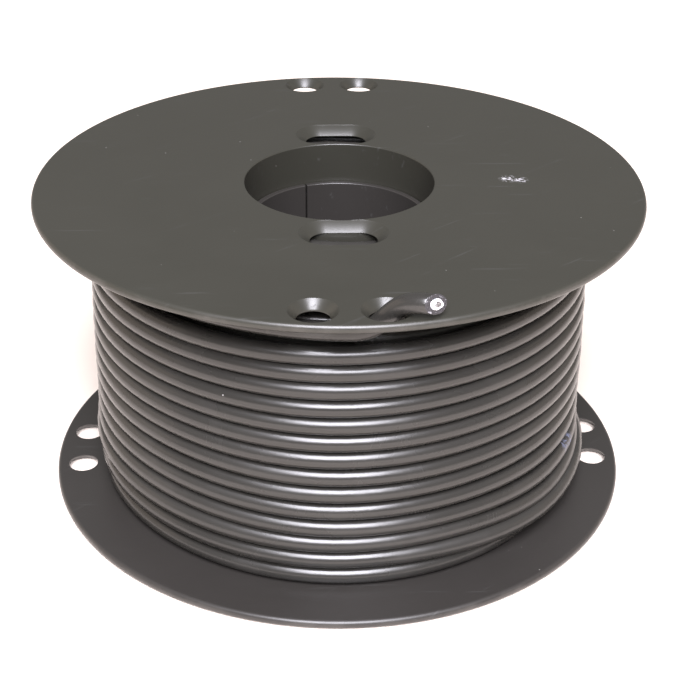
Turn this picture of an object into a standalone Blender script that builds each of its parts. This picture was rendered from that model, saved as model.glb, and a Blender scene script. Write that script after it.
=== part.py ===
"""Wire spool: a moulded reel in two halves, full of steel-core cable. Metres, +Z up.

The reel stands on its lower flange. Its axis is Z and the origin is the centre of the base.
"""

import math

import bmesh
import bpy
import numpy as np
from mathutils import Matrix, Vector

# ---- Driving dimensions -------------------------------------------------------------
MM = 0.001
GAP = 0.3 * MM

HEIGHT = 106.5 * MM
FLANGE_RADIUS = 100.0 * MM
FLANGE_THICK = 3.0 * MM
RIM_ROUND = 1.45 * MM

BORE_RADIUS = 31.2 * MM
BARREL_RADIUS = 35.0 * MM
BORE_ROUND = 0.5 * MM

SLEEVE_WALL = 1.9 * MM
SLEEVE_DROP = 13.8 * MM
FINGERS = 3
FINGER_SLIT = 0.7 * MM
FINGER_LENGTH = 26.0 * MM
FIRST_SLIT_DEG = 111.4
SNAP_DEPTH = 0.5 * MM
SNAP_LENGTH = 1.8 * MM
SNAP_BELOW_TOP = 2.7 * MM

HOLE_MOUTH = 7.2 * MM
HOLE_THROUGH = 5.0 * MM
HOLE_HALF_PITCH = 10.25 * MM
HOLE_OFFSET = 90.5 * MM

SLOT_MOUTH = 8.9 * MM
SLOT_THROUGH = 5.5 * MM
SLOT_HALF_RUN = 5.0 * MM
SLOT_OFFSET = 40.2 * MM
MOUTH_DEPTH = 2.7 * MM
MOUTH_BULGE = 0.06

CABLE_RADIUS = 3.0 * MM
WOUND_RADIUS = 83.0 * MM
WOUND_TOP = 88.9 * MM
UNDER_LAYER_RADIUS = 76.3 * MM

INSULATION_RADIUS = 1.75 * MM
CONDUCTOR_RADIUS = 0.8 * MM
SOCKET_DEPTH = 4.0 * MM
INSULATION_BARE = 0.8 * MM
CONDUCTOR_BARE = 0.3 * MM

ROUND_STEPS = 72
HOLE_STEPS = 20
ARC_STEPS = 3
PIN_STEPS = 16
ROUTE_POINTS = 44

# The cable's free end, from the last turn on the barrel, up through the hole in the
# upper flange, to the cut. Chosen by hand, in millimetres.
FREE_ROUTE = [
    (-77.3, -20.7, 93.4),
    (-67.8, -42.4, 93.8),
    (-51.4, -61.3, 94.1),
    (-30.0, -74.2, 94.4),
    (-7.2, -83.1, 95.9),
    (-1.2, -85.6, 97.0),
    (3.4, -87.6, 98.3),
    (7.3, -89.3, 100.8),
    (10.3, -90.8, 104.5),
    (12.9, -92.0, 107.6),
    (16.0, -93.7, 109.9),
    (19.7, -95.3, 110.9),
    (23.4, -96.4, 111.1),
]


# ---- Scene and helpers --------------------------------------------------------------
def clear_scene():
    for obj in list(bpy.data.objects):
        bpy.data.objects.remove(obj, do_unlink=True)


def new_collection(name):
    made = bpy.data.collections.new(name)
    bpy.context.scene.collection.children.link(made)
    return made


def make_material(name, colour, roughness, metallic=0.0):
    mat = bpy.data.materials.new(name)
    mat.use_nodes = True
    shader = mat.node_tree.nodes["Principled BSDF"]
    shader.inputs["Base Color"].default_value = (*colour, 1.0)
    shader.inputs["Roughness"].default_value = roughness
    shader.inputs["Metallic"].default_value = metallic
    return mat


def make_object(name, mesh, home, mat=None):
    obj = bpy.data.objects.new(name, mesh)
    home.objects.link(obj)
    if mat is not None:
        mesh.materials.append(mat)
    return obj


def mark_cutter(obj):
    obj.hide_render = True
    obj.display_type = "WIRE"
    return obj


def profile_mesh(name, points, closed=True):
    """A line of (radius, height) points in the XZ plane, ready to be turned."""
    mesh = bpy.data.meshes.new(name)
    bm = bmesh.new()
    verts = [bm.verts.new((r, 0.0, z)) for r, z in points]
    pairs = list(zip(verts, verts[1:]))
    if closed:
        pairs.append((verts[-1], verts[0]))
    for a, b in pairs:
        bm.edges.new((a, b))
    bm.to_mesh(mesh)
    bm.free()
    return mesh


def turned(name, points, home, mat, steps=ROUND_STEPS):
    """A closed profile, turned once around Z with a Screw modifier."""
    obj = make_object(name, profile_mesh(name, points), home, mat)
    screw = obj.modifiers.new("turn", "SCREW")
    screw.axis = "Z"
    screw.angle = 2.0 * math.pi
    screw.steps = steps
    screw.render_steps = steps
    screw.use_merge_vertices = True
    screw.merge_threshold = 0.00001
    screw.use_smooth_shade = True
    return obj


def baked(obj):
    """The evaluated mesh in place of the object's own mesh and modifiers."""
    graph = bpy.context.evaluated_depsgraph_get()
    mesh = bpy.data.meshes.new_from_object(obj.evaluated_get(graph))
    obj.modifiers.clear()
    obj.data = mesh
    return obj


def cut(obj, cutters):
    for cutter in cutters:
        cutting = obj.modifiers.new(cutter.name, "BOOLEAN")
        cutting.operation = "DIFFERENCE"
        cutting.solver = "EXACT"
        cutting.object = cutter


def smooth_shading(obj, degrees=35.0):
    obj.data.shade_smooth()
    obj.data.set_sharp_from_angle(angle=math.radians(degrees))


def corner(centre, radius, start_deg, end_deg):
    """Points on a part of a circle."""
    points = []
    for i in range(ARC_STEPS + 1):
        turn = math.radians(start_deg + (end_deg - start_deg) * i / ARC_STEPS)
        x = centre[0] + radius * math.cos(turn)
        z = centre[1] + radius * math.sin(turn)
        points.append((x, z))
    return points


def bell(mouth, through, top):
    """Points down a bell mouth's wall, a gentle curve that steepens towards the hole."""
    wide = mouth - through
    points = []
    for i in range(ARC_STEPS + 1):
        t = i / ARC_STEPS
        pull = 2.0 * t * (1.0 - t)
        r = mouth - wide * (pull * (0.5 + MOUTH_BULGE) + t * t)
        z = top - MOUTH_DEPTH * (pull * (0.5 - MOUTH_BULGE) + t * t)
        points.append((r, z))
    return points


# ---- Cutters for the holes and slots ------------------------------------------------
def mouth_cutter(name, home, mouth, through, half_run=0.0):
    """A cutter along Z whose face lies at z = 0: a bell mouth, then a straight hole.

    A half_run above zero draws it out along X into a slot.
    """
    above = 2.0 * MM
    below = FLANGE_THICK + 1.0 * MM
    points = [(mouth, above)]
    points += bell(mouth, through, 0.0)
    points.append((through, -below))

    bm = bmesh.new()
    half_step = Matrix.Rotation(math.pi / HOLE_STEPS, 3, "Z")
    verts = [bm.verts.new(half_step @ Vector((r, 0.0, z))) for r, z in points]
    edges = [bm.edges.new(pair) for pair in zip(verts, verts[1:])]
    bmesh.ops.spin(
        bm,
        geom=verts + edges,
        cent=(0.0, 0.0, 0.0),
        axis=(0.0, 0.0, 1.0),
        angle=2.0 * math.pi,
        steps=HOLE_STEPS,
        use_merge=True,
    )
    bmesh.ops.remove_doubles(bm, verts=bm.verts, dist=0.00001)
    rims = [edge for edge in bm.edges if edge.is_boundary]
    bmesh.ops.holes_fill(bm, edges=rims, sides=0)
    bmesh.ops.recalc_face_normals(bm, faces=bm.faces)
    for vert in bm.verts:
        vert.co.x += math.copysign(half_run, vert.co.x)
    mesh = bpy.data.meshes.new(name)
    bm.to_mesh(mesh)
    bm.free()
    return mark_cutter(make_object(name, mesh, home))


def flange_cutters(label, home, face_z, turn_deg, flipped):
    """The four round holes and the two slots of one flange, cut from its outer face."""
    made = []
    pattern = Matrix.Translation((0.0, 0.0, face_z)) @ Matrix.Rotation(math.radians(turn_deg), 4, "Z")
    if flipped:
        pattern = pattern @ Matrix.Rotation(math.pi, 4, "Y")
    for side in (-1, 1):
        for step in (-1, 1):
            name = f"cut_{label}_hole_{len(made) + 1}"
            hole = mouth_cutter(name, home, HOLE_MOUTH, HOLE_THROUGH)
            place = Matrix.Translation((step * HOLE_HALF_PITCH, side * HOLE_OFFSET, 0.0))
            hole.matrix_world = pattern @ place
            made.append(hole)
        name = f"cut_{label}_slot_{len(made) + 1}"
        slot = mouth_cutter(name, home, SLOT_MOUTH, SLOT_THROUGH, SLOT_HALF_RUN)
        slot.matrix_world = pattern @ Matrix.Translation((0.0, side * SLOT_OFFSET, 0.0))
        made.append(slot)
    return made


def slit_cutters(home, top):
    """Thin boxes that part the top of the sleeve into snap fingers."""
    made = []
    inner = BORE_RADIUS - GAP - SLEEVE_WALL
    reach = 6.0 * MM
    for i in range(FINGERS):
        bm = bmesh.new()
        bmesh.ops.create_cube(bm, size=1.0)
        size = (reach, FINGER_SLIT, 2.0 * FINGER_LENGTH)
        bmesh.ops.scale(bm, vec=size, verts=bm.verts)
        mesh = bpy.data.meshes.new(f"cut_slit_{i + 1}")
        bm.to_mesh(mesh)
        bm.free()
        box = mark_cutter(make_object(f"cut_slit_{i + 1}", mesh, home))
        turn = math.radians(FIRST_SLIT_DEG + 360.0 * i / FINGERS)
        mid = inner + 0.5 * SLEEVE_WALL
        spot = Matrix.Translation((mid, 0.0, top))
        box.matrix_world = Matrix.Rotation(turn, 4, "Z") @ spot
        made.append(box)
    return made


# ---- The two halves of the reel -----------------------------------------------------
def snap_heights():
    top = HEIGHT - SLEEVE_DROP
    middle = top - SNAP_BELOW_TOP
    return middle + 0.5 * SNAP_LENGTH, middle - 0.5 * SNAP_LENGTH


def make_upper_half(home, cutter_home, mat):
    """The upper flange with the outer barrel, which reaches down to the lower flange."""
    under = HEIGHT - FLANGE_THICK
    high, low = snap_heights()
    groove = BORE_RADIUS + SNAP_DEPTH
    points = []
    points += corner((FLANGE_RADIUS - RIM_ROUND, HEIGHT - RIM_ROUND), RIM_ROUND, 90.0, 0.0)
    points += corner((FLANGE_RADIUS - RIM_ROUND, under + RIM_ROUND), RIM_ROUND, 0.0, -90.0)
    points.append((BARREL_RADIUS, under))
    points.append((BARREL_RADIUS, FLANGE_THICK + GAP))
    points.append((BORE_RADIUS, FLANGE_THICK + GAP))
    points.append((BORE_RADIUS, low - 2.0 * GAP - SNAP_DEPTH))
    points.append((groove, low - 2.0 * GAP))
    points.append((groove, high + GAP))
    points.append((BORE_RADIUS, high + GAP))
    points += corner((BORE_RADIUS + BORE_ROUND, HEIGHT - BORE_ROUND), BORE_ROUND, 180.0, 90.0)
    half = baked(turned("upper_half", points, home, mat))
    cut(half, flange_cutters("upper", cutter_home, HEIGHT, 0.0, False))
    smooth_shading(half)
    return half


def make_lower_half(home, cutter_home, mat):
    """The lower flange with the inner sleeve, whose snap fingers hold in the barrel."""
    outer = BORE_RADIUS - GAP
    inner = outer - SLEEVE_WALL
    top = HEIGHT - SLEEVE_DROP
    high, low = snap_heights()
    points = [(outer, top), (outer, high), (outer + SNAP_DEPTH, high)]
    points += [(outer + SNAP_DEPTH, low), (outer, low - SNAP_DEPTH)]
    points.append((outer, FLANGE_THICK))
    points += corner((FLANGE_RADIUS - RIM_ROUND, FLANGE_THICK - RIM_ROUND), RIM_ROUND, 90.0, 0.0)
    points += corner((FLANGE_RADIUS - RIM_ROUND, RIM_ROUND), RIM_ROUND, 0.0, -90.0)
    points += corner((inner + BORE_ROUND, BORE_ROUND), BORE_ROUND, 270.0, 180.0)
    points.append((inner, top))
    half = baked(turned("lower_half", points, home, mat))
    cutters = flange_cutters("lower", cutter_home, 0.0, 90.0, True)
    cutters += slit_cutters(cutter_home, top)
    cut(half, cutters)
    smooth_shading(half)
    return half


# ---- The cable ----------------------------------------------------------------------
def make_winding(home, mat):
    """The outer shape of the wound cable: a ring, stepped where the last turn ends."""
    base = FLANGE_THICK + GAP
    top = HEIGHT - FLANGE_THICK - GAP
    points = [
        (UNDER_LAYER_RADIUS, top),
        (UNDER_LAYER_RADIUS, WOUND_TOP),
        (WOUND_RADIUS, WOUND_TOP),
        (WOUND_RADIUS, base),
        (BARREL_RADIUS + GAP, base),
        (BARREL_RADIUS + GAP, top),
    ]
    ring = baked(turned("cable_winding", points, home, mat))
    smooth_shading(ring)
    return ring


def smooth_route(points, count):
    """Even samples of the natural cubic spline through the points, and its end direction."""
    knots = np.array(points, dtype=float) * MM
    steps = np.linalg.norm(np.diff(knots, axis=0), axis=1)
    along = np.concatenate(([0.0], np.cumsum(steps)))
    n = len(knots)
    system = np.eye(n)
    target = np.zeros((n, 3))
    for i in range(1, n - 1):
        system[i, i - 1] = steps[i - 1]
        system[i, i] = 2.0 * (steps[i - 1] + steps[i])
        system[i, i + 1] = steps[i]
        after = (knots[i + 1] - knots[i]) / steps[i]
        before = (knots[i] - knots[i - 1]) / steps[i - 1]
        target[i] = 6.0 * (after - before)
    bend = np.linalg.solve(system, target)
    made = []
    for s in np.linspace(0.0, along[-1], count):
        i = min(int(np.searchsorted(along, s, side="right")) - 1, n - 2)
        h = steps[i]
        a = (along[i + 1] - s) / h
        b = (s - along[i]) / h
        curve = ((a**3 - a) * bend[i] + (b**3 - b) * bend[i + 1]) * h * h / 6.0
        made.append(Vector(a * knots[i] + b * knots[i + 1] + curve))
    return made


def end_frame(route):
    """A matrix at the cut end whose Z runs out of the cable."""
    ahead = (route[-1] - route[-2]).normalized()
    turn = ahead.to_track_quat("Z", "Y").to_matrix().to_4x4()
    return Matrix.Translation(route[-1]) @ turn


def make_tail(home, cutter_home, mat, route):
    """The black sheath of the free end, with the socket that holds the insulation."""
    curve = bpy.data.curves.new("cable_tail", "CURVE")
    curve.dimensions = "3D"
    curve.bevel_depth = CABLE_RADIUS
    curve.bevel_resolution = 3
    curve.use_fill_caps = True
    spline = curve.splines.new("POLY")
    spline.points.add(len(route) - 1)
    for point, place in zip(spline.points, route):
        point.co = (*place, 1.0)
    guide = bpy.data.objects.new("cable_tail_curve", curve)
    home.objects.link(guide)
    graph = bpy.context.evaluated_depsgraph_get()
    mesh = bpy.data.meshes.new_from_object(guide.evaluated_get(graph))
    bm = bmesh.new()
    bm.from_mesh(mesh)
    bmesh.ops.remove_doubles(bm, verts=bm.verts, dist=0.00001)
    bm.to_mesh(mesh)
    bm.free()
    tail = make_object("cable_tail", mesh, home, mat)
    tail.matrix_world = guide.matrix_world
    bpy.data.objects.remove(guide, do_unlink=True)
    socket = pin("cut_tail_socket", cutter_home, INSULATION_RADIUS + GAP, 2.0 * SOCKET_DEPTH)
    socket.matrix_world = end_frame(route)
    cut(tail, [mark_cutter(socket)])
    smooth_shading(tail)
    return tail


def pin(name, home, radius, length, mat=None):
    """A round bar along Z, centred on its own origin."""
    mesh = bpy.data.meshes.new(name)
    bm = bmesh.new()
    bmesh.ops.create_cone(
        bm,
        segments=PIN_STEPS,
        radius1=radius,
        radius2=radius,
        depth=length,
        cap_ends=True,
    )
    bm.to_mesh(mesh)
    bm.free()
    return make_object(name, mesh, home, mat)


def make_insulation(home, cutter_home, mat, route):
    """The white inner insulation, bored for the conductor."""
    length = SOCKET_DEPTH - GAP + INSULATION_BARE
    middle = INSULATION_BARE - 0.5 * length
    sleeve = pin("tail_insulation", home, INSULATION_RADIUS, length, mat)
    sleeve.matrix_world = end_frame(route) @ Matrix.Translation((0.0, 0.0, middle))
    bore = pin("cut_insulation_bore", cutter_home, CONDUCTOR_RADIUS + GAP, 2.0 * length)
    bore.matrix_world = sleeve.matrix_world.copy()
    cut(sleeve, [mark_cutter(bore)])
    smooth_shading(sleeve)
    return sleeve


def make_conductor(home, mat, route):
    """The steel core, which stands a little out of the insulation."""
    out = INSULATION_BARE + CONDUCTOR_BARE
    length = SOCKET_DEPTH - GAP + out
    core = pin("tail_conductor", home, CONDUCTOR_RADIUS, length, mat)
    core.matrix_world = end_frame(route) @ Matrix.Translation((0.0, 0.0, out - 0.5 * length))
    smooth_shading(core)
    return core


def main():
    clear_scene()
    parts = new_collection("wire_spool")
    cutters = new_collection("cutters")
    black_plastic = make_material("black_plastic", (0.10, 0.096, 0.085), 0.45)
    cable_sheath = make_material("cable_sheath", (0.055, 0.052, 0.05), 0.32)
    white_insulation = make_material("white_insulation", (0.82, 0.81, 0.84), 0.4)
    bare_steel = make_material("bare_steel", (0.55, 0.55, 0.57), 0.3, 1.0)
    route = smooth_route(FREE_ROUTE, ROUTE_POINTS)
    make_upper_half(parts, cutters, black_plastic)
    make_lower_half(parts, cutters, black_plastic)
    make_winding(parts, cable_sheath)
    make_tail(parts, cutters, cable_sheath, route)
    make_insulation(parts, cutters, white_insulation, route)
    make_conductor(parts, bare_steel, route)


main()
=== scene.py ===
"""Wire spool: the looks. A moulded reel in two halves, full of steel-core cable.

Metres, +Z up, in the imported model's own frame: the reel's axis is Z and its base is at z = 0.
Angles round the reel are measured from the front (-Y) towards the right (+X).
"""

import math

import bmesh
import bpy
import numpy as np
from mathutils import Matrix, Vector


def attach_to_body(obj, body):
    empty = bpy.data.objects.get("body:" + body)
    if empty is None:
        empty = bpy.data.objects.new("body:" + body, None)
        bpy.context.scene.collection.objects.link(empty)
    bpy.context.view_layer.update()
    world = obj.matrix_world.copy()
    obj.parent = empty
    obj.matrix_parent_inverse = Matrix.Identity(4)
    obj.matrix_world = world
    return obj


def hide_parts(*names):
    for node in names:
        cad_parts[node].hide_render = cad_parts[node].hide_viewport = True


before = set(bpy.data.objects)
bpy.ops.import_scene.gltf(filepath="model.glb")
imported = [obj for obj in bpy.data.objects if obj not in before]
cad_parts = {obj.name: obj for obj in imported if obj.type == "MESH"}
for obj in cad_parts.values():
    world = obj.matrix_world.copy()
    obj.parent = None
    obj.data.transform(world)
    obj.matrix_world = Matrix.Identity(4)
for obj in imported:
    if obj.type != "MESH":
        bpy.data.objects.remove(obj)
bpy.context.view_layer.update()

MM = 0.001

# ---- Camera -------------------------------------------------------------------------
EYE = (-0.01622, -0.46442, 0.3073)
HEADING_DEG = 2.50
PITCH_DEG = 29.72
ROLL_DEG = 0.60
LENS_MM = 78.62
SENSOR_MM = 36.0
NEAREST, FARTHEST = 0.01, 50.0

# ---- Light --------------------------------------------------------------------------
# Softboxes: name, azimuth, elevation, distance, width, height, radiance, colour.
LIT_POINT = (0.0, 0.0, 0.055)
KEY_COLOUR = (0.93, 0.915, 1.0)
FILL_COLOUR = (1.0, 0.80, 0.64)
SOFTBOXES = [
    ("key", -0.5, 50.0, 1.7, 0.85, 1.15, 35.0, KEY_COLOUR),
    ("left fill", -100.0, 14.0, 1.5, 1.5, 1.1, 0.8, FILL_COLOUR),
    ("right fill", 100.0, 14.0, 1.5, 1.5, 1.1, 0.45, FILL_COLOUR),
]
ROOM_COLOUR = (1.0, 0.97, 0.92, 1.0)
ROOM_STRENGTH = 0.33
FLOOR_REACH = 3.0
FLOOR_DROP = 0.2 * MM

# ---- Spool --------------------------------------------------------------------------
HEIGHT = 106.5 * MM
FLANGE_RADIUS = 100.0 * MM
FLANGE_THICK = 3.0 * MM
RIM_ROUND = 1.45 * MM
GAP = 0.3 * MM

BORE_RADIUS = 31.2 * MM
BARREL_RADIUS = 35.0 * MM
BORE_ROUND = 0.5 * MM

SLEEVE_WALL = 1.9 * MM
SLEEVE_DROP = 13.8 * MM
SLEEVE_ROUND = 0.35 * MM
FINGERS = 3
FINGER_SLIT = 0.7 * MM
FINGER_LENGTH = 26.0 * MM
FIRST_SLIT_DEG = 111.4
SNAP_DEPTH = 0.5 * MM
SNAP_LENGTH = 1.8 * MM
SNAP_BELOW_TOP = 2.7 * MM

HOLE_MOUTH = 7.2 * MM
HOLE_THROUGH = 5.0 * MM
HOLE_HALF_PITCH = 10.25 * MM
HOLE_OFFSET = 90.5 * MM
SLOT_MOUTH = 8.9 * MM
SLOT_THROUGH = 5.5 * MM
SLOT_HALF_RUN = 5.0 * MM
SLOT_OFFSET = 40.2 * MM
MOUTH_DEPTH = 2.7 * MM
MOUTH_BULGE = 0.06
LIP = 0.12 * MM

ROUND_STEPS = 288
HOLE_STEPS = 72
ARC_STEPS = 8

# ---- Cable --------------------------------------------------------------------------
CABLE_RADIUS = 2.975 * MM
CABLE_SIDES = 16
LAYERS = 8
FIRST_LAYER = 38.0 * MM
LAYER_STEP = 6.0 * MM
TURN_STEP = 6.12 * MM
LOWEST = 6.0 * MM
HIGHEST = 100.4 * MM
STEP_UP_DEG = 40.0
FLAT_DEG = 180.0
FRONT_TURNS = 13
LEAVE_DEG = 285.0
LEAVE_HEIGHT = 93.4 * MM
INNER_POINTS = 30
OUTER_POINTS = 88
SWAY_OUT = 0.2 * MM
SWAY_UP = 0.05 * MM

SWAY_PERIODS_DEG = (83.0, 137.0, 211.0, 467.0, 1190.0)
LEAD_POINTS = 12
FREE_SPACING = 1.2 * MM

# How the outer layer strays from an even helix, in millimetres by turn, counted up from the
# lower flange. The turns lift at the left of the front. At the right the second turn rolls
# out over the first, and those above it sag after it. The lowest turns bulge at both sides.
LIFT_TURNS, LIFT = (0, 1, 2, 6, 12, 13), (0.8, 2.4, 3.3, 2.7, 1.0, 0.6)
SAG_TURNS, SAG = (1, 2, 3, 4, 5), (0.0, 3.5, 2.4, 1.0, 0.0)
BULGE_TURNS, BULGE = (0, 1, 2, 3, 4, 8, 11), (0.0, 1.0, 2.0, 1.2, 0.7, 0.5, 0.0)
FRONT_TURNS_UP, FRONT_UP = (3, 5, 7, 11, 13), (-0.15, 0.3, 0.6, 0.6, 0.3)
ROLL_OVER_DEG = 42.0
# Where it does so, in degrees round from the front: from none, to all, to none again.
LEFT_WINDOW = (0.0, 52.0, 95.0, 170.0)
RIGHT_WINDOW = (4.0, 58.0, 95.0, 170.0)
FRONT_WINDOW = (-170.0, -60.0, 60.0, 170.0)

# The free end, from the last turn on the barrel, up through the hole in the upper flange,
# to the cut. The same points as the CAD part's, in metres.
FREE_ROUTE = [
    (-0.0773, -0.0207, 0.0934),
    (-0.0678, -0.0424, 0.0938),
    (-0.0514, -0.0613, 0.0941),
    (-0.0300, -0.0742, 0.0944),
    (-0.0072, -0.0831, 0.0959),
    (-0.0012, -0.0856, 0.0970),
    (0.0034, -0.0876, 0.0983),
    (0.0073, -0.0893, 0.1008),
    (0.0103, -0.0908, 0.1045),
    (0.0129, -0.0920, 0.1076),
    (0.0160, -0.0937, 0.1099),
    (0.0197, -0.0953, 0.1109),
    (0.0234, -0.0964, 0.1111),
]
CUT_FACING = (0.541, -0.805, 0.246)
CUT_CLEARANCE = 3.2 * MM
SOCKET_RADIUS = 1.66 * MM
SOCKET_DEPTH = 4.0 * MM
INSULATION_RADIUS = 1.48 * MM
INSULATION_BORE = 0.84 * MM
INSULATION_BARE = 0.45 * MM
INSULATION_SQUARE = 0.09
CONDUCTOR_RADIUS = 0.80 * MM
CONDUCTOR_BARE = 0.65 * MM
CORE_SIDES = 48

# ---- Finishes: tones are darker, lighter --------------------------------------------
UPPER_TONES = (0.0222, 0.0216, 0.0170), (0.0280, 0.0272, 0.0216)
LOWER_TONES = (0.0220, 0.0202, 0.0184), (0.0278, 0.0255, 0.0233)
SHEATH_TONES = (0.0180, 0.0170, 0.0152), (0.0262, 0.0250, 0.0225)
# The cut ring's tones are tinted lavender and lightened: a painted sheen for the light its rough
# cut catches.
TORN_SHEEN_TONES = (0.012, 0.011, 0.013), (0.045, 0.042, 0.046)
WAXY_TONES = (0.80, 0.79, 0.84), (0.92, 0.91, 0.94)
STEEL_TONES = (0.26, 0.26, 0.28), (0.50, 0.50, 0.52)
FLOOR_TONES = (0.78, 0.70, 0.62), (0.82, 0.74, 0.66)
PLASTIC_GLOSS = 0.33, 0.40
SHEATH_GLOSS = 0.235, 0.30
# Scuffs: (spot, radius) in metres.
FLANGE_SCUFFS = [((0.0557, 0.0000, 0.1065), 0.0035), ((0.0600, -0.0012, 0.1065), 0.0030)]
CABLE_SCUFFS = [((0.0766, -0.0335, 0.0250), 0.0060)]


# ---- Small helpers ------------------------------------------------------------------
def make_object(name, mesh, mat=None):
    obj = bpy.data.objects.new(name, mesh)
    bpy.context.scene.collection.objects.link(obj)
    if mat is not None:
        mesh.materials.append(mat)
    return obj


def mesh_from_bmesh(name, bm):
    mesh = bpy.data.meshes.new(name)
    bm.to_mesh(mesh)
    bm.free()
    return mesh


def baked(obj):
    """The evaluated mesh in place of the object's own mesh and modifiers."""
    graph = bpy.context.evaluated_depsgraph_get()
    mesh = bpy.data.meshes.new_from_object(obj.evaluated_get(graph))
    obj.modifiers.clear()
    obj.data = mesh
    return obj


def smooth_shading(obj, degrees=35.0):
    obj.data.shade_smooth()
    obj.data.set_sharp_from_angle(angle=math.radians(degrees))


def corner(centre, radius, start_deg, end_deg):
    """Points on a part of a circle."""
    turns = np.radians(np.linspace(start_deg, end_deg, ARC_STEPS + 1))
    return [(centre[0] + radius * math.cos(t), centre[1] + radius * math.sin(t)) for t in turns]


def bell(mouth, through, top):
    """Points down a bell mouth's wall, a gentle curve that steepens towards the hole."""
    wide = mouth - through
    points = []
    for t in np.linspace(0.0, 1.0, ARC_STEPS + 1):
        pull = 2.0 * t * (1.0 - t)
        r = mouth - wide * (pull * (0.5 + MOUTH_BULGE) + t * t)
        z = top - MOUTH_DEPTH * (pull * (0.5 - MOUTH_BULGE) + t * t)
        points.append((r, z))
    return points


def smooth_step(t):
    return t * t * (3.0 - 2.0 * t)


# ---- Camera and light ---------------------------------------------------------------
def make_camera():
    heading, pitch, roll = (math.radians(d) for d in (HEADING_DEG, PITCH_DEG, ROLL_DEG))
    ahead = Vector((
        math.sin(heading) * math.cos(pitch),
        math.cos(heading) * math.cos(pitch),
        -math.sin(pitch),
    ))
    level = Vector((math.cos(heading), -math.sin(heading), 0.0))
    upright = level.cross(ahead)
    side = math.cos(roll) * level + math.sin(roll) * upright
    up = math.cos(roll) * upright - math.sin(roll) * level
    data = bpy.data.cameras.new("camera")
    data.lens = LENS_MM
    data.sensor_width = SENSOR_MM
    data.clip_start = NEAREST
    data.clip_end = FARTHEST
    cam = bpy.data.objects.new("camera", data)
    bpy.context.scene.collection.objects.link(cam)
    place = Matrix((side, up, -ahead)).transposed().to_4x4()
    place.translation = EYE
    cam.matrix_world = place
    bpy.context.scene.camera = cam


def softbox(name, azimuth, elevation, distance, width, height, radiance, colour, target):
    """A rectangular area light facing the target. Azimuth 0 is in front, 90 at the right."""
    data = bpy.data.lights.new(name, "AREA")
    data.shape = "RECTANGLE"
    data.size = width
    data.size_y = height
    data.energy = radiance * math.pi * width * height
    data.color = colour
    lamp = bpy.data.objects.new(name, data)
    bpy.context.scene.collection.objects.link(lamp)
    a, e = math.radians(azimuth), math.radians(elevation)
    out = Vector((math.sin(a) * math.cos(e), -math.cos(a) * math.cos(e), math.sin(e)))
    lamp.location = Vector(target) + distance * out
    lamp.rotation_mode = "QUATERNION"
    lamp.rotation_quaternion = (-out).to_track_quat("-Z", "Y")


def make_lights():
    world = bpy.data.worlds.new("studio")
    world.use_nodes = True
    backdrop = world.node_tree.nodes["Background"]
    backdrop.inputs["Color"].default_value = ROOM_COLOUR
    backdrop.inputs["Strength"].default_value = ROOM_STRENGTH
    bpy.context.scene.world = world
    for box in SOFTBOXES:
        softbox(*box, LIT_POINT)


def make_floor(mat):
    bm = bmesh.new()
    bmesh.ops.create_grid(bm, x_segments=1, y_segments=1, size=FLOOR_REACH)
    floor = make_object("floor", mesh_from_bmesh("floor", bm), mat)
    floor.location.z = -FLOOR_DROP


# ---- The cable ----------------------------------------------------------------------
def layer_samples():
    """Angle in degrees, radius and height along all layers, from the start at the barrel."""
    run = 360.0 * (HIGHEST - LOWEST) / TURN_STEP
    rows = []
    for layer in range(LAYERS - 1):
        outer = layer == LAYERS - 2
        points = OUTER_POINTS if outer else INNER_POINTS
        start = -FLAT_DEG - (LAYERS - 1 - layer) * (run + STEP_UP_DEG)
        radius = FIRST_LAYER + layer * LAYER_STEP
        ends = (HIGHEST, LOWEST) if layer % 2 == 0 else (LOWEST, HIGHEST)
        for t in np.linspace(0.0, 1.0, int(points * run / 360.0)):
            rows.append((start + t * run, radius, ends[0] + t * (ends[1] - ends[0])))
        steps = int(points * STEP_UP_DEG / 360.0) + 4
        for t in np.linspace(0.0, 1.0, steps + 2)[1:-1]:
            up = radius + LAYER_STEP * smooth_step(t)
            rows.append((start + run + t * STEP_UP_DEG, up, ends[1]))
    radius = FIRST_LAYER + (LAYERS - 1) * LAYER_STEP
    last = 360.0 * FRONT_TURNS
    last_height = LOWEST + FRONT_TURNS * TURN_STEP
    stop = last + LEAVE_DEG
    for angle in np.linspace(-FLAT_DEG, stop, int(OUTER_POINTS * (stop + FLAT_DEG) / 360.0)):
        if angle < 0.0:
            height = LOWEST
        elif angle < last:
            height = LOWEST + TURN_STEP * angle / 360.0
        else:
            height = last_height + (LEAVE_HEIGHT - last_height) * (angle - last) / LEAVE_DEG
        rows.append((angle, radius, height))
    return np.array(rows)


def sway(angles, seed):
    """A slow seeded wander between 0 and 1 along the cable."""
    rng = np.random.default_rng(seed)
    total = np.zeros_like(angles)
    for period in SWAY_PERIODS_DEG:
        total += np.sin(np.radians(360.0 * (angles / period + rng.random())))
    return np.clip(0.5 + total / 6.0, 0.0, 1.0)


def window(turn, rise_from, rise_to, fall_from, fall_to):
    """A smooth 0 to 1 and back to 0 along an angle."""
    up = np.clip((turn - rise_from) / (rise_to - rise_from), 0.0, 1.0)
    down = np.clip((fall_to - turn) / (fall_to - fall_from), 0.0, 1.0)
    return smooth_step(up) * smooth_step(down)


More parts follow.
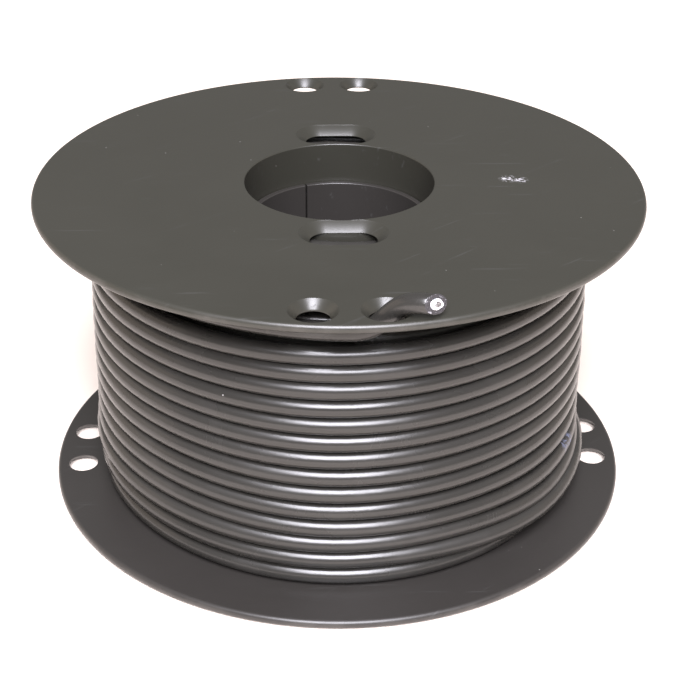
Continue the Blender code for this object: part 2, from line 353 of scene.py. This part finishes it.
def strayed(angles, radii, heights):
    """The samples with the outer layer's own unevenness. It fades out at the back."""
    outer = angles > -FLAT_DEG
    count = np.floor((angles + 180.0) / 360.0)
    turn = angles - 360.0 * count
    left = window(-turn, *LEFT_WINDOW)
    right = window(turn, *RIGHT_WINDOW)
    front = window(turn, *FRONT_WINDOW)
    lift = left * np.interp(count, LIFT_TURNS, LIFT)
    lift += front * np.interp(count, FRONT_TURNS_UP, FRONT_UP, left=0.0)
    lift -= right**2 * np.interp(count, SAG_TURNS, SAG)
    bulge = (left + right**2) * np.interp(count, BULGE_TURNS, BULGE)
    rolling = count == 1
    roll = np.radians(ROLL_OVER_DEG) * right
    bulge = np.where(rolling, left * BULGE[1] + TURN_STEP / MM * np.sin(roll), bulge)
    lift -= np.where(rolling, TURN_STEP / MM * (1.0 - np.cos(roll)), 0.0)
    return radii + outer * bulge * MM, heights + outer * lift * MM


def wound_points():
    """The centreline of the wound cable, from its start at the barrel to the free end."""
    angles, radii, heights = layer_samples().T
    radii, heights = strayed(angles, radii, heights)
    on_top = np.clip((angles + FLAT_DEG) / STEP_UP_DEG, 0.0, 1.0)
    leaving = np.clip((360.0 * FRONT_TURNS + LEAVE_DEG - angles) / STEP_UP_DEG, 0.0, 1.0)
    radii = radii + on_top * leaving * SWAY_OUT * sway(angles, 3)
    heights = heights + leaving * SWAY_UP * sway(angles, 5)
    turns = np.radians(angles)
    return np.stack([radii * np.sin(turns), -radii * np.cos(turns), heights], axis=1)


def spline(knots, spacing):
    """Even samples of the natural cubic spline through the knots."""
    steps = np.linalg.norm(np.diff(knots, axis=0), axis=1)
    along = np.concatenate(([0.0], np.cumsum(steps)))
    n = len(knots)
    system = np.eye(n)
    target = np.zeros((n, 3))
    for i in range(1, n - 1):
        system[i, i - 1] = steps[i - 1]
        system[i, i] = 2.0 * (steps[i - 1] + steps[i])
        system[i, i + 1] = steps[i]
        after = (knots[i + 1] - knots[i]) / steps[i]
        before = (knots[i] - knots[i - 1]) / steps[i - 1]
        target[i] = 6.0 * (after - before)
    bend = np.linalg.solve(system, target)
    made = []
    for s in np.linspace(0.0, along[-1], int(along[-1] / spacing)):
        i = min(int(np.searchsorted(along, s, side="right")) - 1, n - 2)
        h = steps[i]
        a = (along[i + 1] - s) / h
        b = (s - along[i]) / h
        curve = ((a**3 - a) * bend[i] + (b**3 - b) * bend[i + 1]) * h * h / 6.0
        made.append(a * knots[i] + b * knots[i + 1] + curve)
    return np.array(made)


def cable_path():
    """Every ring centre of the cable. The last one is the middle of the cut."""
    wound = wound_points()
    knots = np.concatenate([wound[-LEAD_POINTS:-1], np.array(FREE_ROUTE)])
    free = spline(knots, FREE_SPACING)
    whole = np.concatenate([wound[:-LEAD_POINTS], free])
    clear = np.linalg.norm(whole - whole[-1], axis=1) > CUT_CLEARANCE
    clear[-1] = True
    return whole[clear]


def carried_frames(path):
    """A tangent and a side direction at every ring, carried along without twist."""
    ahead = np.gradient(path, axis=0)
    ahead /= np.linalg.norm(ahead, axis=1)[:, None]
    side = np.array([path[0][0], path[0][1], 0.0])
    sides = []
    for way in ahead:
        side = side - np.dot(side, way) * way
        side /= np.linalg.norm(side)
        sides.append(side.copy())
    return ahead, np.array(sides)


def cut_ring(centre, ahead, side, radius, along, count, square=0.0, burr=None):
    """A ring at the cut end. Every point slides along the cable onto the slanting cut."""
    facing = np.array(CUT_FACING) / np.linalg.norm(CUT_FACING)
    across = np.cross(ahead, side)
    ring = []
    for j in range(count):
        turn = 2.0 * math.pi * j / count
        reach = radius * (1.0 + square * math.cos(4.0 * turn + 0.6))
        out = reach * (math.cos(turn) * side + math.sin(turn) * across)
        slide = along - np.dot(out, facing) / np.dot(ahead, facing)
        if burr is not None:
            slide += burr[j]
        ring.append(centre + out + slide * ahead)
    return ring


def skin(bm, rings, close_start=False, close_end=False):
    """Quads between rings of equal counts, with the two ends closed or left open."""
    rows = [[bm.verts.new(co) for co in ring] for ring in rings]
    for a, b in zip(rows, rows[1:]):
        for j in range(len(a)):
            k = (j + 1) % len(a)
            bm.faces.new((a[j], a[k], b[k], b[j]))
    if close_start:
        bm.faces.new(reversed(rows[0]))
    if close_end:
        bm.faces.new(rows[-1])
    return rows


def make_cable(sheath, cut_face):
    """One tube, wound in layers from the barrel out to the cut end."""
    path = cable_path()
    ahead, sides = carried_frames(path)
    turns = 2.0 * math.pi * np.arange(CABLE_SIDES) / CABLE_SIDES
    rings = []
    for centre, way, side in zip(path[:-1], ahead, sides):
        across = np.cross(way, side)
        out = np.cos(turns)[:, None] * side + np.sin(turns)[:, None] * across
        rings.append(centre + CABLE_RADIUS * out)
    rng = np.random.default_rng(11)
    burr = rng.uniform(-0.12, 0.16, CABLE_SIDES) * MM
    end = (path[-1], ahead[-1], sides[-1])
    rings.append(cut_ring(*end, CABLE_RADIUS, -0.45 * MM, CABLE_SIDES, burr=burr))
    rings.append(cut_ring(*end, CABLE_RADIUS * 0.985, -0.1 * MM, CABLE_SIDES, burr=burr))
    rings.append(cut_ring(*end, CABLE_RADIUS * 0.93, 0.0, CABLE_SIDES, burr=0.6 * burr))
    rings.append(cut_ring(*end, 0.5 * (CABLE_RADIUS + SOCKET_RADIUS), -0.12 * MM, CABLE_SIDES))
    rings.append(cut_ring(*end, SOCKET_RADIUS, 0.04 * MM, CABLE_SIDES))
    rings.append(cut_ring(*end, SOCKET_RADIUS, -SOCKET_DEPTH, CABLE_SIDES))
    bm = bmesh.new()
    rows = skin(bm, rings, close_start=True, close_end=True)
    bm.faces.ensure_lookup_table()
    steps = np.linalg.norm(np.diff(path, axis=0), axis=1)
    lengths = np.concatenate(([0.0], np.cumsum(steps)))
    uv = bm.loops.layers.uv.new("along")
    tube = len(path) - 1
    for r in range(len(rows) - 1):
        low = lengths[min(r, tube)]
        high = lengths[min(r + 1, tube)]
        for j in range(CABLE_SIDES):
            face = bm.faces[r * CABLE_SIDES + j]
            places = ((j, low), (j + 1, low), (j + 1, high), (j, high))
            for loop, (u, v) in zip(face.loops, places):
                loop[uv].uv = (u / CABLE_SIDES, v)
            if r > tube:
                face.material_index = 1
    cable = make_object("cable", mesh_from_bmesh("cable", bm), sheath)
    cable.data.materials.append(cut_face)
    smooth_shading(cable, 40.0)
    return cable, path, end


def make_core(name, end, profile, mat, square=0.0):
    """A turned piece in the cable's end: a closed loop of (radius, along) points."""
    rings = [cut_ring(*end, r, z, CORE_SIDES, square) for r, z in profile]
    bm = bmesh.new()
    rows = skin(bm, rings)
    for j in range(CORE_SIDES):
        k = (j + 1) % CORE_SIDES
        bm.faces.new((rows[-1][j], rows[-1][k], rows[0][k], rows[0][j]))
    bmesh.ops.recalc_face_normals(bm, faces=bm.faces)
    piece = make_object(name, mesh_from_bmesh(name, bm), mat)
    smooth_shading(piece)
    return piece


def make_insulation(end, mat):
    back = GAP - SOCKET_DEPTH
    outer, bore, out = INSULATION_RADIUS, INSULATION_BORE, INSULATION_BARE
    profile = [
        (outer, back),
        (outer, out - 0.18 * MM),
        (outer - 0.05 * MM, out - 0.05 * MM),
        (outer - 0.18 * MM, out),
        (bore + 0.12 * MM, out),
        (bore, out - 0.12 * MM),
        (bore, back),
    ]
    return make_core("core_insulation", end, profile, mat, INSULATION_SQUARE)


def make_conductor(end, mat):
    """The steel core. A fine dimple in its cut keeps the turned loop closed."""
    back = GAP - SOCKET_DEPTH
    out = CONDUCTOR_BARE
    profile = [
        (CONDUCTOR_RADIUS, back),
        (CONDUCTOR_RADIUS, out - 0.14 * MM),
        (CONDUCTOR_RADIUS - 0.05 * MM, out - 0.03 * MM),
        (CONDUCTOR_RADIUS - 0.16 * MM, out),
        (0.35 * MM, out - 0.05 * MM),
        (0.05 * MM, out - 0.1 * MM),
        (0.05 * MM, back),
    ]
    return make_core("steel_core", end, profile, mat)


# ---- The two halves of the reel -----------------------------------------------------
def turned(name, points, mat):
    """A closed profile of (radius, height) points, turned once around Z."""
    turns = 2.0 * math.pi * np.arange(ROUND_STEPS) / ROUND_STEPS
    bm = bmesh.new()
    rings = []
    for r, z in points:
        rings.append([(r * math.cos(t), r * math.sin(t), z) for t in turns])
    rows = skin(bm, rings)
    for j in range(ROUND_STEPS):
        k = (j + 1) % ROUND_STEPS
        bm.faces.new((rows[-1][j], rows[-1][k], rows[0][k], rows[0][j]))
    bmesh.ops.recalc_face_normals(bm, faces=bm.faces)
    return make_object(name, mesh_from_bmesh(name, bm), mat)


def mouth_cutter(name, mouth, through, half_run=0.0):
    """A cutter along Z whose face lies at z = 0: a bell mouth, then a straight hole.

    A half_run above zero draws it out along X into a slot.
    """
    points = [(mouth + LIP, 2.0 * MM), (mouth + LIP, 0.0)]
    points += bell(mouth, through, -LIP)
    points.append((through, -FLANGE_THICK - 1.0 * MM))
    turns = 2.0 * math.pi * (np.arange(HOLE_STEPS) + 0.5) / HOLE_STEPS
    rings = []
    for r, z in points:
        ring = []
        for t in turns:
            x = r * math.cos(t)
            ring.append((x + math.copysign(half_run, x), r * math.sin(t), z))
        rings.append(ring)
    bm = bmesh.new()
    skin(bm, rings, close_start=True, close_end=True)
    bmesh.ops.recalc_face_normals(bm, faces=bm.faces)
    return make_object(name, mesh_from_bmesh(name, bm))


def flange_cutters(face_z, turn_deg, flipped):
    """The four round holes and the two slots of one flange, cut from its outer face."""
    pattern = Matrix.Translation((0.0, 0.0, face_z))
    pattern = pattern @ Matrix.Rotation(math.radians(turn_deg), 4, "Z")
    if flipped:
        pattern = pattern @ Matrix.Rotation(math.pi, 4, "Y")
    made = []
    for side in (-1, 1):
        for step in (-1, 1):
            hole = mouth_cutter("cut_hole", HOLE_MOUTH, HOLE_THROUGH)
            spot = (step * HOLE_HALF_PITCH, side * HOLE_OFFSET, 0.0)
            hole.matrix_world = pattern @ Matrix.Translation(spot)
            made.append(hole)
        slot = mouth_cutter("cut_slot", SLOT_MOUTH, SLOT_THROUGH, SLOT_HALF_RUN)
        slot.matrix_world = pattern @ Matrix.Translation((0.0, side * SLOT_OFFSET, 0.0))
        made.append(slot)
    return made


def slit_cutters(top):
    """Thin round-ended plates that part the top of the sleeve into snap fingers."""
    made = []
    half = 0.5 * FINGER_SLIT
    outline = [(half, 2.0 * MM), (-half, 2.0 * MM)]
    for t in np.linspace(math.pi, 2.0 * math.pi, 13):
        outline.append((half * math.cos(t), half - FINGER_LENGTH + half * math.sin(t)))
    middle = BORE_RADIUS - GAP - 0.5 * SLEEVE_WALL
    for i in range(FINGERS):
        bm = bmesh.new()
        plates = [[(x, y, z) for y, z in outline] for x in (-3.0 * MM, 3.0 * MM)]
        skin(bm, plates, close_start=True, close_end=True)
        bmesh.ops.recalc_face_normals(bm, faces=bm.faces)
        plate = make_object("cut_slit", mesh_from_bmesh("cut_slit", bm))
        turn = math.radians(FIRST_SLIT_DEG + 360.0 * i / FINGERS)
        spot = Matrix.Translation((middle, 0.0, top))
        plate.matrix_world = Matrix.Rotation(turn, 4, "Z") @ spot
        made.append(plate)
    return made


def cut(obj, cutters):
    """Takes the cutters out of the object, and weights its normals to keep flat faces flat."""
    for cutter in cutters:
        cutting = obj.modifiers.new("cut", "BOOLEAN")
        cutting.operation = "DIFFERENCE"
        cutting.solver = "EXACT"
        cutting.object = cutter
    baked(obj)
    for cutter in cutters:
        bpy.data.objects.remove(cutter, do_unlink=True)
    smooth_shading(obj)
    weighting = obj.modifiers.new("face weighting", "WEIGHTED_NORMAL")
    weighting.keep_sharp = True
    return obj


def snap_heights():
    middle = HEIGHT - SLEEVE_DROP - SNAP_BELOW_TOP
    return middle + 0.5 * SNAP_LENGTH, middle - 0.5 * SNAP_LENGTH


def make_upper_half(mat):
    """The upper flange with the outer barrel, which reaches down to the lower flange."""
    under = HEIGHT - FLANGE_THICK
    high, low = snap_heights()
    groove = BORE_RADIUS + SNAP_DEPTH
    points = []
    points += corner((FLANGE_RADIUS - RIM_ROUND, HEIGHT - RIM_ROUND), RIM_ROUND, 90.0, 0.0)
    points += corner((FLANGE_RADIUS - RIM_ROUND, under + RIM_ROUND), RIM_ROUND, 0.0, -90.0)
    points.append((BARREL_RADIUS, under))
    points.append((BARREL_RADIUS, FLANGE_THICK + GAP))
    points.append((BORE_RADIUS, FLANGE_THICK + GAP))
    points.append((BORE_RADIUS, low - 2.0 * GAP - SNAP_DEPTH))
    points.append((groove, low - 2.0 * GAP))
    points.append((groove, high + GAP))
    points.append((BORE_RADIUS, high + GAP))
    points += corner((BORE_RADIUS + BORE_ROUND, HEIGHT - BORE_ROUND), BORE_ROUND, 180.0, 90.0)
    half = turned("upper_half_moulding", points, mat)
    return cut(half, flange_cutters(HEIGHT, 0.0, False))


def make_lower_half(mat):
    """The lower flange with the inner sleeve, whose snap fingers hold in the barrel."""
    outer = BORE_RADIUS - GAP
    inner = outer - SLEEVE_WALL
    top = HEIGHT - SLEEVE_DROP
    high, low = snap_heights()
    ease = SLEEVE_ROUND
    points = corner((inner + ease, top - ease), ease, 180.0, 90.0)
    points += corner((outer - ease, top - ease), ease, 90.0, 0.0)
    points += [(outer, high), (outer + SNAP_DEPTH, high)]
    points += [(outer + SNAP_DEPTH, low), (outer, low - SNAP_DEPTH)]
    points.append((outer, FLANGE_THICK))
    points += corner((FLANGE_RADIUS - RIM_ROUND, FLANGE_THICK - RIM_ROUND), RIM_ROUND, 90.0, 0.0)
    points += corner((FLANGE_RADIUS - RIM_ROUND, RIM_ROUND), RIM_ROUND, 0.0, -90.0)
    points += corner((inner + BORE_ROUND, BORE_ROUND), BORE_ROUND, 270.0, 180.0)
    half = turned("lower_half_moulding", points, mat)
    return cut(half, flange_cutters(0.0, 90.0, True) + slit_cutters(top))


# ---- Materials ----------------------------------------------------------------------
def new_material(name):
    mat = bpy.data.materials.new(name)
    mat.use_nodes = True
    return mat, mat.node_tree, mat.node_tree.nodes["Principled BSDF"]


def add(tree, kind, values=None, **settings):
    """A node with its settings. An input is linked if given a socket, or else set."""
    made = tree.nodes.new("ShaderNode" + kind)
    for key, value in settings.items():
        setattr(made, key, value)
    for key, value in (values or {}).items():
        if isinstance(value, bpy.types.NodeSocket):
            tree.links.new(value, made.inputs[key])
        else:
            made.inputs[key].default_value = value
    return made


def noise(tree, place, scale, detail=3.0, rough=0.55, stretch=None, warp=0.0):
    if stretch is not None:
        place = add(tree, "Mapping", {"Vector": place, "Scale": stretch}).outputs[0]
    values = {
        "Vector": place,
        "Scale": scale,
        "Detail": detail,
        "Roughness": rough,
        "Distortion": warp,
    }
    return add(tree, "TexNoise", values).outputs["Fac"]


def span(tree, value, low, high, to_low=0.0, to_high=1.0):
    """Value from low to high, as a smooth step from to_low to to_high."""
    values = {
        "Value": value,
        "From Min": low,
        "From Max": high,
        "To Min": to_low,
        "To Max": to_high,
    }
    return add(tree, "MapRange", values, interpolation_type="SMOOTHSTEP").outputs[0]


def sums(tree, operation, a, b):
    return add(tree, "Math", {0: a, 1: b}, operation=operation).outputs[0]


def blend(tree, factor, a, b):
    """A colour from a to b. Each is a colour or a socket."""
    made = tree.nodes.new("ShaderNodeMix")
    made.data_type = "RGBA"
    for key, value in ((0, factor), (6, a), (7, b)):
        if isinstance(value, bpy.types.NodeSocket):
            tree.links.new(value, made.inputs[key])
        else:
            made.inputs[key].default_value = (*value, 1.0) if key else value
    return made.outputs[2]


def specks(tree, place, scale, size, rarity):
    """Sparse small dots: the cells of a Voronoi pattern whose random value is high."""
    cells = add(tree, "TexVoronoi", {"Vector": place, "Scale": scale, "Randomness": 1.0})
    dot = span(tree, cells.outputs["Distance"], size, size * 0.55)
    rare = add(tree, "SeparateColor", {0: cells.outputs["Color"]}).outputs[0]
    kept = span(tree, rare, rarity, rarity + 0.01)
    return sums(tree, "MULTIPLY", dot, kept)


def near(tree, place, spot, radius):
    """1 at the spot, 0 beyond the radius."""
    away = add(tree, "VectorMath", {0: place, 1: spot}, operation="DISTANCE").outputs["Value"]
    return span(tree, away, radius, radius * 0.35)


def bumped(tree, shader, layers):
    """Stacked bumps: (height socket, strength, distance in metres)."""
    normal = None
    for height, strength, distance in layers:
        values = {"Height": height, "Strength": strength, "Distance": distance}
        if normal is not None:
            values["Normal"] = normal
        normal = add(tree, "Bump", values).outputs[0]
    tree.links.new(normal, shader.inputs["Normal"])


def spool_plastic(name, tones, scuffs=()):
    """Satin black moulded plastic: faint flow mottling, hairline scratches, dust, worn rim."""
    mat, tree, shader = new_material(name)
    place = add(tree, "TexCoord").outputs["Object"]
    flow = noise(tree, place, 22.0, 4.0, 0.5, warp=0.6)
    grain = noise(tree, place, 900.0, 2.0)
    scratch_a = noise(tree, place, 30.0, 5.0, 0.6, stretch=(1.0, 22.0, 6.0), warp=0.2)
    across = {"Vector": place, "Rotation": (0.0, 0.0, 0.9)}
    turned_place = add(tree, "Mapping", across).outputs[0]
    scratch_b = noise(tree, turned_place, 26.0, 5.0, 0.6, stretch=(20.0, 1.0, 6.0), warp=0.2)
    hair_a = span(tree, scratch_a, 0.645, 0.70)
    hair_b = span(tree, scratch_b, 0.655, 0.71)
    hairs = sums(tree, "MAXIMUM", hair_a, hair_b)
    dust = specks(tree, place, 240.0, 0.055, 0.93)
    handling = span(tree, noise(tree, place, 9.0, 5.0, 0.6, warp=1.0), 0.5, 0.72)

    sides = add(tree, "SeparateXYZ", {0: place})
    flat = add(tree, "CombineXYZ", {0: sides.outputs[0], 1: sides.outputs[1]}).outputs[0]
    reach = add(tree, "VectorMath", {0: flat}, operation="LENGTH").outputs["Value"]
    rim = span(tree, reach, FLANGE_RADIUS - 0.8 * MM, FLANGE_RADIUS - 0.1 * MM)
    rubbed = span(tree, noise(tree, place, 60.0, 6.0, 0.65), 0.42, 0.66)
    rim_wear = sums(tree, "MULTIPLY", rim, rubbed)

    colour = blend(tree, flow, *tones)
    colour = blend(tree, sums(tree, "MULTIPLY", hairs, 0.35), colour, (0.05, 0.05, 0.048))
    colour = blend(tree, sums(tree, "MULTIPLY", rim_wear, 0.5), colour, (0.06, 0.056, 0.05))
    colour = blend(tree, sums(tree, "MULTIPLY", dust, 0.6), colour, (0.33, 0.32, 0.3))
    gloss = span(tree, flow, 0.25, 0.8, *PLASTIC_GLOSS)
    gloss = sums(tree, "ADD", gloss, sums(tree, "MULTIPLY", handling, 0.05))
    gloss = sums(tree, "ADD", gloss, sums(tree, "MULTIPLY", hairs, 0.10))
    gloss = sums(tree, "ADD", gloss, sums(tree, "MULTIPLY", dust, 0.30))
    heights = sums(tree, "MULTIPLY", hairs, -1.0)
    for spot, radius in scuffs:
        zone = near(tree, place, spot, radius)
        ragged = span(tree, noise(tree, place, 420.0, 4.0, 0.7, warp=1.5), 0.50, 0.60)
        mark = sums(tree, "MULTIPLY", zone, ragged)
        colour = blend(tree, mark, colour, (0.42, 0.41, 0.43))
        gloss = sums(tree, "ADD", gloss, sums(tree, "MULTIPLY", mark, 0.25))
    tree.links.new(colour, shader.inputs["Base Color"])
    tree.links.new(gloss, shader.inputs["Roughness"])
    bumped(tree, shader, [
        (noise(tree, place, 14.0, 2.0), 0.25, 0.0009),
        (grain, 0.10, 0.00012),
        (heights, 0.20, 0.00004),
        (dust, 0.5, 0.00008),
    ])
    return mat


def cable_sheath(name, scuffs):
    """Black extruded sheath: satin, with fine lines along it, dull patches and specks."""
    mat, tree, shader = new_material(name)
    place = add(tree, "TexCoord").outputs["Object"]
    run = add(tree, "UVMap", uv_map="along").outputs[0]
    lines = noise(tree, run, 1.0, 3.0, 0.6, stretch=(46.0, 4.0, 1.0))
    patches = noise(tree, run, 1.0, 4.0, 0.55, stretch=(1.6, 14.0, 1.0))
    grain = noise(tree, place, 1400.0, 2.0)
    dust = specks(tree, place, 190.0, 0.05, 0.955)
    film = span(tree, noise(tree, place, 34.0, 5.0, 0.6, warp=0.8), 0.48, 0.75)

    colour = blend(tree, patches, *SHEATH_TONES)
    colour = blend(tree, sums(tree, "MULTIPLY", film, 0.25), colour, (0.045, 0.043, 0.04))
    colour = blend(tree, sums(tree, "MULTIPLY", dust, 0.7), colour, (0.40, 0.39, 0.38))
    gloss = span(tree, patches, 0.25, 0.75, *SHEATH_GLOSS)
    gloss = sums(tree, "ADD", gloss, sums(tree, "MULTIPLY", film, 0.06))
    gloss = sums(tree, "ADD", gloss, sums(tree, "MULTIPLY", dust, 0.3))
    for spot, radius in scuffs:
        zone = near(tree, place, spot, radius)
        ragged = span(tree, noise(tree, place, 500.0, 4.0, 0.7, warp=1.2), 0.47, 0.60)
        mark = sums(tree, "MULTIPLY", zone, ragged)
        colour = blend(tree, sums(tree, "MULTIPLY", mark, 0.8), colour, (0.15, 0.17, 0.26))
        gloss = sums(tree, "ADD", gloss, sums(tree, "MULTIPLY", mark, 0.2))
    tree.links.new(colour, shader.inputs["Base Color"])
    tree.links.new(gloss, shader.inputs["Roughness"])
    bumped(tree, shader, [
        (lines, 0.22, 0.00006),
        (grain, 0.08, 0.00008),
        (dust, 0.5, 0.00008),
    ])
    return mat


def cut_sheath(name):
    """The freshly cut ring of sheath: torn and dull, painted a lighter lavender grey with pale
    patches, a painted highlight for the light that the rough cut catches.
    """
    mat, tree, shader = new_material(name)
    place = add(tree, "TexCoord").outputs["Object"]
    torn = noise(tree, place, 900.0, 5.0, 0.7, warp=1.0)
    # Pale lavender patches on the cut: painted highlights where the rough cut catches the light.
    glint_patches = span(tree, noise(tree, place, 620.0, 4.0, 0.65, warp=1.6), 0.56, 0.66)
    colour = blend(tree, torn, *TORN_SHEEN_TONES)
    colour = blend(tree, sums(tree, "MULTIPLY", glint_patches, 0.55), colour, (0.50, 0.49, 0.52))
    tree.links.new(colour, shader.inputs["Base Color"])
    tree.links.new(span(tree, torn, 0.3, 0.7, 0.45, 0.65), shader.inputs["Roughness"])
    bumped(tree, shader, [(torn, 0.7, 0.00018), (glint_patches, 0.4, 0.00008)])
    return mat


def white_core(name):
    """Waxy white insulation with a little grey rubbed into it."""
    mat, tree, shader = new_material(name)
    place = add(tree, "TexCoord").outputs["Object"]
    cloud = noise(tree, place, 700.0, 4.0, 0.6, warp=0.6)
    grime = span(tree, noise(tree, place, 1500.0, 3.0, 0.6), 0.60, 0.72)
    colour = blend(tree, cloud, *WAXY_TONES)
    colour = blend(tree, sums(tree, "MULTIPLY", grime, 0.35), colour, (0.45, 0.44, 0.46))
    tree.links.new(colour, shader.inputs["Base Color"])
    tree.links.new(span(tree, cloud, 0.3, 0.7, 0.32, 0.48), shader.inputs["Roughness"])
    shader.inputs["Subsurface Weight"].default_value = 0.25
    shader.inputs["Subsurface Radius"].default_value = (0.0009, 0.0008, 0.0008)
    bumped(tree, shader, [(cloud, 0.35, 0.00008)])
    return mat


def cut_steel(name):
    """Galvanised steel wire, sheared: streaked across the cut, duller in its hollows."""
    mat, tree, shader = new_material(name)
    shader.inputs["Metallic"].default_value = 1.0
    place = add(tree, "TexCoord").outputs["Object"]
    streaks = noise(tree, place, 900.0, 4.0, 0.6, stretch=(0.4, 1.0, 3.0), warp=0.4)
    spots = span(tree, noise(tree, place, 1900.0, 3.0, 0.6), 0.45, 0.65)
    colour = blend(tree, streaks, *STEEL_TONES)
    colour = blend(tree, sums(tree, "MULTIPLY", spots, 0.45), colour, (0.12, 0.115, 0.11))
    tree.links.new(colour, shader.inputs["Base Color"])
    tree.links.new(span(tree, streaks, 0.3, 0.7, 0.34, 0.52), shader.inputs["Roughness"])
    bumped(tree, shader, [(streaks, 0.6, 0.00010)])
    return mat


def pale_floor(name):
    mat, tree, shader = new_material(name)
    place = add(tree, "TexCoord").outputs["Object"]
    cloud = noise(tree, place, 3.0, 3.0)
    colour = blend(tree, cloud, *FLOOR_TONES)
    tree.links.new(colour, shader.inputs["Base Color"])
    shader.inputs["Roughness"].default_value = 0.8
    bumped(tree, shader, [(noise(tree, place, 300.0), 0.05, 0.0002)])
    return mat


# ---- Assembly -----------------------------------------------------------------------
def attach(piece, slot, *nodes):
    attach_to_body(piece, "root")
    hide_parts(*nodes)


def main():
    scene = bpy.context.scene
    scene.view_settings.view_transform = "Standard"
    make_camera()

    sheath = cable_sheath("cable_sheath_worn", CABLE_SCUFFS)
    cable, path, end = make_cable(sheath, cut_sheath("cable_sheath_cut"))
    insulation = make_insulation(end, white_core("white_insulation_cut"))
    conductor = make_conductor(end, cut_steel("bare_steel_cut"))
    attach(cable, "cable_sheath", "cable_winding", "cable_tail")
    attach(insulation, "white_insulation", "tail_insulation")
    attach(conductor, "bare_steel", "tail_conductor")

    upper_look = spool_plastic("black_plastic_upper", UPPER_TONES, FLANGE_SCUFFS)
    attach(make_upper_half(upper_look), "black_plastic", "upper_half")
    lower_look = spool_plastic("black_plastic_lower", LOWER_TONES)
    attach(make_lower_half(lower_look), "black_plastic", "lower_half")

    make_floor(pale_floor("pale_floor"))
    make_lights()


main()
